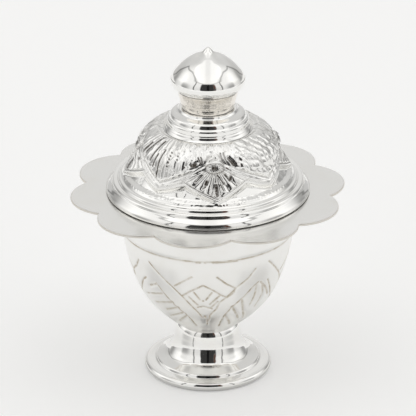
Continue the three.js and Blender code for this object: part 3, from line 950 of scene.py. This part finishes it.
def boss(sheet, spot):
    """The half-round boss that the petals spring from, and the plain tongue above it."""
    up = sheet["up"]
    across = (spot["beside"] + 1) * sheet["mm_per_degree"]
    round_share = (across / 1.75) ** 2 + ((up - 9.75) / 0.85) ** 2
    pit = strokes(sheet, [[(4.5, 9.85), (5.5, 9.85)]], 0.42)
    tongue_half = np.clip(13.3 - up, 0, 2.8) * 0.75
    tongue = ramp(tongue_half - np.abs(across), 0, 0.45) * ramp(up, 10.2, 10.5)
    wedge = np.clip((13.2 - up) / 2.8, 0, 1) * 0.62
    height = 0.45 * np.sqrt(np.clip(1 - round_share, 0, 1)) + wedge * tongue - 0.3 * pit
    rim = hump(np.sqrt(round_share), 1.12, 0.13)
    beside_tongue = hump(np.abs(across) - tongue_half, 0.3, 0.35)
    beside_tongue = beside_tongue * ramp(up, 10.3, 10.9) * fall(up, 12.2, 13.2)
    disc = ramp(1 - round_share, 0, 0.3) * 0.2
    recess = [ramp(pit, 0.15, 0.5), rim * 0.75, disc, beside_tongue * 0.5]
    return height, np.maximum.reduce(recess)


def leaf_swell(spot):
    """How far inside a leaf each place lies, from 0 at its edge to 1."""
    return ramp(spot["in_leaf"], 0.45, 0.8), ramp(spot["in_leaf"], 0.3, 1.4)


def ribbed_leaf(sheet, spot):
    """Ribs that fan out towards the border, then beads, pits and lumps beside them."""
    here = ramp(tip - np.abs(spot["from_ribbed"]), 0, 1.5)
    spread = spot["from_ribbed"] * 14.1 / (27.6 - sheet["up"])
    rib = np.interp(spread, [-34, 3.5], [0, 9]) % 1
    ribbed = ramp(4 - spread, 0, 1) * ramp(15.6 - sheet["up"], 0, 1)
    crown = 1 - (2 * rib - 1) ** 2
    slots = strokes(sheet, [
        [(-53, 14.8), (-56, 13.6), (-59, 12), (-62, 10.2)], [(-49, 14), (-53.3, 9.3)],
        [(-42.3, 12.3), (-43, 8.9), (-43, 6.4)], [(-47, 11), (-49, 8.4)], [(-63, 12.5), (-67, 9.8)],
    ], 0.22, two_fold)
    dots = np.maximum.reduce([
        strokes(sheet, [
            [(-34.5, 12.2), (-34.3, 12.2)], [(-34.5, 11.4), (-34.3, 11.4)],
            [(-34.4, 10.7), (-34.2, 10.7)], [(-34.2, 10), (-34, 10)], [(-34, 9.3), (-33.8, 9.3)],
            [(-27.5, 11.7), (-27.2, 11.7)], [(-27, 10.9), (-26.8, 10.9)],
            [(-19.5, 9.7), (-19.3, 9.7)],
        ], 0.19, two_fold),
        strokes(sheet, [[(-13.2, 10.2), (-10.5, 10.5)]], 0.42, two_fold),
        strokes(sheet, [[(-8.6, 11.9), (-6.4, 10.8)], [(-6.4, 12.1), (-4.6, 11)]],
                0.16, two_fold),
    ])
    lumps = (1 - ribbed) * ramp(hammering(sheet, *lump_grain), -0.6, 0.7) * 0.14
    height = 0.13 * crown * ribbed + lumps - 0.26 * slots - 0.12 * dots
    return here, height, np.maximum(ramp(slots, 0.25, 0.75), ramp(dots, 0.2, 0.6))


def scaled_leaf(sheet, spot):
    """Long scales that overlap on the slant, and an eye with two curved grooves near the boss."""
    here = ramp(tip - np.abs(spot["from_scaled"]), 0, 1.5)
    across = spot["from_scaled"] * sheet["mm_per_degree"]
    slant = math.radians(-50)
    along = across * math.cos(slant) + (sheet["up"] - 9) * math.sin(slant)
    beside = (sheet["up"] - 9) * math.cos(slant) - across * math.sin(slant)
    nearest = np.full(across.shape, 9.0)
    jitter = np.random.default_rng(11)
    for row in range(-7, 8):
        for column in range(-4, 5):
            shift, lift = jitter.uniform(-0.4, 0.4, 2)
            centre = (column + 0.5 * (row % 2)) * 2.6 + shift
            share = np.hypot((along - centre) / 1.5, (beside - row * 1.35 - lift) / 0.82)
            nearest = np.minimum(nearest, share)
    scale = np.clip(1 - nearest ** 2, 0, 1)
    eye = strokes(sheet, [[(18.5, 11.6), (20.3, 10.9), (22, 10.3)]], 0.46, two_fold)
    rings = strokes(sheet, [[(11.5, 12.8), (12.5, 11.4), (15, 10.2), (20, 9.1), (26, 8.2)],
                            [(14.5, 12.9), (15, 11.6), (17, 10.6)]], 0.2, two_fold)
    clear = ramp(spot["from_scaled"], -27, -21)
    gaps = ramp(nearest, 0.85, 1.15) * clear
    height = 0.2 * scale * clear - 0.3 * eye - 0.15 * rings
    return here, height, np.maximum.reduce([gaps * 0.4, ramp(eye, 0.25, 0.7), rings * 0.7])


def dome_ornament(sheet):
    up, spot = sheet["up"], layout(sheet)
    height, recess = border_and_skirt(sheet, spot)
    inside, swell = leaf_swell(spot)
    height = height + swell_height * swell
    for leaf in (ribbed_leaf, scaled_leaf):
        here, rise, depth = leaf(sheet, spot)
        height = height + here * inside * rise
        recess = np.maximum(recess, here * inside * depth)
    for motif in (fan, boss):
        rise, depth = motif(sheet, spot)
        height = height + rise
        recess = np.maximum(recess, depth)
    field = ramp(spot["in_border"], 1.1, 1.6)
    lumpy = ramp(up, 11, 13) * hammering(sheet, *crown_grain) * 0.12
    lumpy = lumpy + hammering(sheet, *wave_grain) * 0.06 + hammering(sheet, *skin_grain) * 0.014
    height = height + lumpy * field
    specks = ramp(hammering(sheet, *speck_grain), 0.6, 0.95) * 0.45
    recess = np.maximum.reduce([recess, hollows(height, 3, 0.14) * field * 0.42,
                                field * (0.02 + specks), ramp(up, 12.5, 14) * 0.05])
    low_fade = ramp(up, 1.1, 1.7)
    return height * low_fade * ramp(up.max() - up, 0, 1), recess * low_fade


emboss(lid, lid_dome, lid_columns, dome_ornament, dome_start)
# painted shade: the lowest edge of the rim, above the gap over the plate, is darkened nearly to
# black
rim_drop = 0.12 * mm
painted_rim_shade = 0.9
rim_shade_layer = lid.data.attributes["recess"]
for index, height in enumerate(places_of(lid)[:, 2]):
    if height < lid_low.z - rim_drop:
        rim_shade_layer.data[index].value = painted_rim_shade
dress(lid, "lid_dome", silver("lid_silver", roughness=0.07, tarnish=tarnish_and_shade_colour))

# %% [markdown]
# ### The sleeve
# A short ring soldered inside the lid drops into the bowl's mouth and keeps the lid in place. Its
# lower edge is rounded, so that it finds the mouth easily.

# %% Turn the sleeve
sleeve_low, sleeve_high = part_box("lid_sleeve")
sleeve_outer = 17.7 * mm
sleeve_inner = 17.1 * mm
sleeve_round = (sleeve_outer - sleeve_inner) / 2
sleeve_edge = bead((sleeve_inner + sleeve_round, sleeve_low.z + sleeve_round), sleeve_round,
                   sleeve_round, 180, 360, 10)
sleeve_top = [(sleeve_outer, sleeve_high.z), (sleeve_inner, sleeve_high.z)]
sleeve = spun("lid_sleeve_turned", joined(sleeve_edge, sleeve_top), turned_columns)
dress(sleeve, "lid_sleeve", silver("sleeve_silver", roughness=0.14))

# %% [markdown]
# ## Collar, neck and knob
# The collar hides the lid's crown under two stepped rings. The neck flares up from it like an
# egg cup, and the knob, an onion with a fine tip, sits on the neck. All three are turned, so they
# are plain outlines with small radii at every edge, which catch a thin light.

# %% Turn the collar
collar_low, collar_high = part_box("lid_collar")
collar_ring = through("lid_collar", [
    (1, 0), (0.985, 0.03), (0.955, 0.1), (0.943, 0.16), (0.93, 0.2), (0.92, 0.22),
], 10)
collar_cove = through("lid_collar", [
    (0.915, 0.25), (0.911, 0.35), (0.909, 0.42), (0.898, 0.47), (0.88, 0.51), (0.86, 0.535),
], 10)
collar_bead = through("lid_collar", [
    (0.853, 0.55), (0.849, 0.6), (0.838, 0.66), (0.82, 0.72), (0.79, 0.77),
], 10)
collar_top = through("lid_collar", [
    (0.74, 0.82), (0.7, 0.86), (0.675, 0.9), (0.66, 0.94), (0.652, 0.975), (0.64, 0.995),
    (0.607, 1),
], 14)
collar_roof, collar_mouth = 5.1 * mm, 8.2 * mm
collar_inside = [(screw_hole, collar_high.z), (screw_hole, collar_high.z - wall),
                 (collar_roof, collar_high.z - wall), (collar_mouth, collar_low.z + wall),
                 (collar_mouth, collar_low.z)]
collar = spun("collar_turned", joined(collar_ring, collar_cove, collar_bead, collar_top,
                                      collar_inside), turned_columns)
dress(collar, "lid_collar", silver("collar_silver", roughness=0.08))

# %% Turn the neck
neck_low, neck_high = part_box("knob_neck")
neck_side = through("knob_neck", [
    (0.806, 0.01), (0.824, 0.1), (0.868, 0.36), (0.914, 0.65), (0.965, 0.885), (1, 1),
], 20)
neck_wall = 0.7 * mm
neck_mouth, neck_bottom = 6.3 * mm, 5.2 * mm
neck_inside = [(neck_mouth, neck_high.z), (neck_bottom, neck_low.z + neck_wall),
               (screw_hole, neck_low.z + neck_wall), (screw_hole, neck_low.z)]
neck = spun("neck_turned", joined(neck_side, neck_inside), 128)
dress(neck, "knob_neck", silver("neck_silver", colour=warm_silver_colour, roughness=0.13))

# %% Turn the knob
knob_rim = through("knob_dome", [
    (0.833, 0), (0.89, 0.04), (0.93, 0.095), (0.953, 0.16), (0.96, 0.215), (0.96, 0.245),
], 14)
knob_ledge = [piece_corner("knob_dome", 0.947, 0.254)]
knob_side = through("knob_dome", [
    (0.943, 0.262), (0.926, 0.31), (0.89, 0.375), (0.825, 0.448), (0.716, 0.555), (0.596, 0.652),
    (0.477, 0.73), (0.357, 0.79), (0.25, 0.833), (0.16, 0.876), (0.1, 0.932), (0.06, 0.973),
    (0.03, 0.994), (0, 1),
], 64)
knob_hollow = through("knob_dome", [
    (0, 0.64), (0.25, 0.63), (0.5, 0.59), (0.72, 0.44), (0.82, 0.33), (0.86, 0.22), (0.82, 0.08),
    (0.76, 0),
], 14)
knob = spun("knob_spun", joined(knob_hollow, knob_rim, knob_ledge, knob_side), turned_columns,
            on_axis=True)
dress(knob, "knob_dome", silver("knob_silver", waviness=0.004))

# %% [markdown]
# ## Screws, washers and nuts
# Two small brass screws hold the box together: one ties foot and bowl, the other ties dome,
# collar and neck. A thread is a ridge that climbs one pitch a turn, so the shank is spun with
# many rows and its points then move in and out by their place on the helix. The slot in the head
# is sunk the same way. A nut is a turned ring whose side is cut back to six flats, which leaves
# the curved chamfers that real nuts have.

# %% Make the brass finish
brass_colour = (0.72, 0.55, 0.28)
brass_shadow_colour = (0.42, 0.29, 0.13)


def turned_brass():
    material, tree = new_finish("turned_brass")
    place = tree.place()
    stain = tree.ease(tree.noise(place, 700, 4, 0.6), 0.4, 0.7)
    tree.surface({"Base Color": tree.mix(stain * 0.6, brass_colour, brass_shadow_colour),
                  "Metallic": 1.0, "Roughness": 0.28 + stain * 0.15,
                  "Normal": tree.bump(tree.noise(place, 6000) * 0.004)})
    return material


brass = turned_brass()
print("brass", brass_colour)

# %% Make the screws
thread_pitch = 0.5 * mm
thread_depth = 0.14 * mm
slot_half_width = 0.35 * mm
slot_depth = 0.7 * mm
screw_radius = 1.5 * mm
head_radius = 2.9 * mm
head_height = 1.3 * mm
head_edge = 0.35 * mm
tail_chamfer = 0.3 * mm
plain_shank = 0.5 * mm
slot_reach = 0.4 * mm
rows_per_turn = 6


def make_screw(node):
    low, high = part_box(node)
    seat = high.z - head_height
    tail = low.z
    dome = bead((0, seat + head_edge), head_radius, head_height - head_edge, 90, 0, 12)
    shank = np.linspace((screw_radius, seat), (screw_radius, tail + tail_chamfer),
                        round((seat - tail) / thread_pitch * rows_per_turn))
    outline = joined(dome, [(head_radius, seat)], shank,
                     [(screw_radius - tail_chamfer, tail), (0, tail)])
    screw = spun(node + "_threaded", outline, 64, on_axis=True)
    place = places_of(screw)
    radius, angle = polar(place)
    height = place[:, 2]
    on_shank = np.abs(radius - screw_radius) < 0.01 * mm
    on_thread = on_shank & (height < seat - plain_shank)
    climb = np.abs((height / thread_pitch - angle / 360) % 1 * 2 - 1)
    cut = np.where(on_thread, 1 - thread_depth / screw_radius * (1 - climb), 1)
    place[:, :2] *= cut[:, None]
    in_slot = (np.abs(place[:, 0]) < slot_half_width) & (height > seat + slot_reach)
    place[:, 2] = np.where(in_slot, np.minimum(height, high.z - slot_depth), height)
    move_to(screw, place)
    dress(screw, node, brass)


for node in ("foot_screw", "knob_screw"):
    make_screw(node)

# %% Make the washers and nuts
nut_half_flats = 2.75 * mm
nut_corner = nut_half_flats / math.cos(math.pi / 6)
nut_chamfer = 0.28 * mm
nut_face = nut_half_flats * 0.97
washer_edge = 0.12 * mm


def make_washer(node):
    low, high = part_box(node)
    inner, outer, edge = screw_hole, -low.y, washer_edge
    outline = joined([(inner, low.z + edge), (inner + edge, low.z)],
                     [(outer - edge, low.z), (outer, low.z + edge)],
                     [(outer, high.z - edge), (outer - edge, high.z)],
                     [(inner + edge, high.z), (inner, high.z - edge)])
    dress(spun(node + "_pressed", outline, 64), node, brass)


def make_nut(node):
    low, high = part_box(node)
    low_corner, high_corner = (nut_corner, low.z + nut_chamfer), (nut_corner, high.z - nut_chamfer)
    edge = nut_chamfer / 2
    outline = joined([(screw_hole, low.z + edge), (screw_hole + edge, low.z)],
                     np.linspace((nut_face, low.z), low_corner, 5),
                     np.linspace(low_corner, high_corner, 8),
                     np.linspace(high_corner, (nut_face, high.z), 5),
                     [(screw_hole + edge, high.z), (screw_hole, high.z - edge)])
    nut = spun(node + "_milled", outline, 96)
    place = places_of(nut)
    radius, angle = polar(place)
    flat = nut_half_flats / np.cos(np.radians(fold(angle, 30, 60)))
    place[:, :2] *= np.minimum(1, flat / radius)[:, None]
    move_to(nut, place)
    dress(nut, node, brass)


for holder in ("foot", "knob"):
    make_washer(holder + "_washer")
    make_nut(holder + "_nut")

# %% Finish: show colours with the standard view transform
bpy.context.scene.view_settings.view_transform = "Standard"
